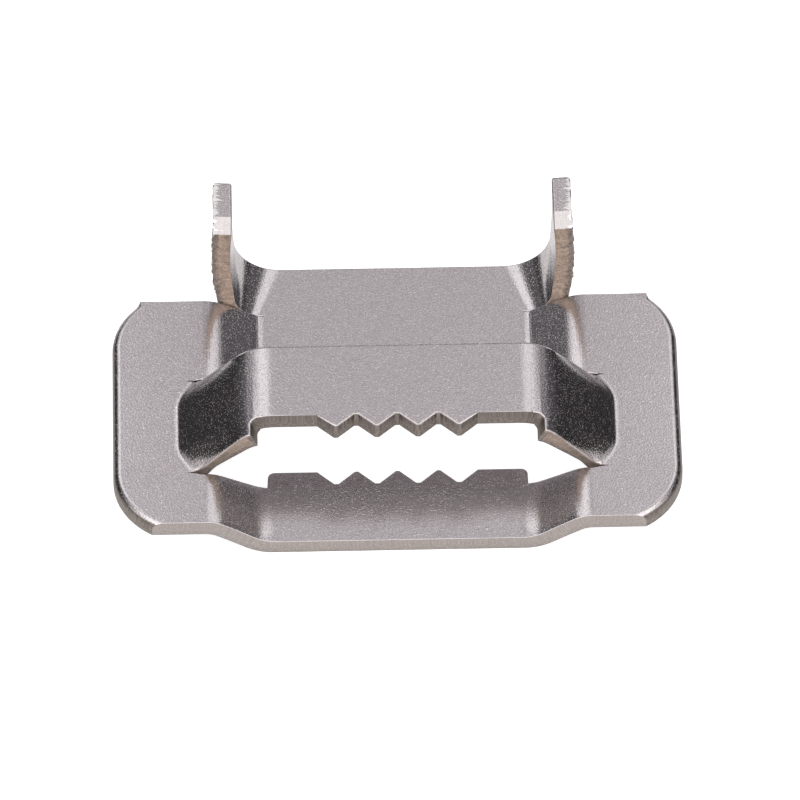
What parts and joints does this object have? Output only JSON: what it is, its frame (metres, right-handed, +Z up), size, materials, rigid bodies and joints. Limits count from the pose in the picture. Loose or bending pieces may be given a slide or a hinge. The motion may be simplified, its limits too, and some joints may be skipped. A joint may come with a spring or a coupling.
{
  "type": "strapping buckle",
  "caption": "One-piece stainless band buckle: rounded cheeks, raised toothed bridge over dropped front and rear bars, and upright ears that fold down over the tail of the band.",
  "frame": {"origin": "centre of the box round the part, on the plane under the two bars", "axes": "+X along the width over both cheeks, +Y from the front bar to the ears, +Z up, the way the ears stand"},
  "size_m": [0.038, 0.0246, 0.0099],
  "materials": {
    "steel": "tumbled satin stainless steel with browner sheared edges"
  },
  "bodies": {
    "root": {"buckle": "steel"}
  },
  "joints": []
}
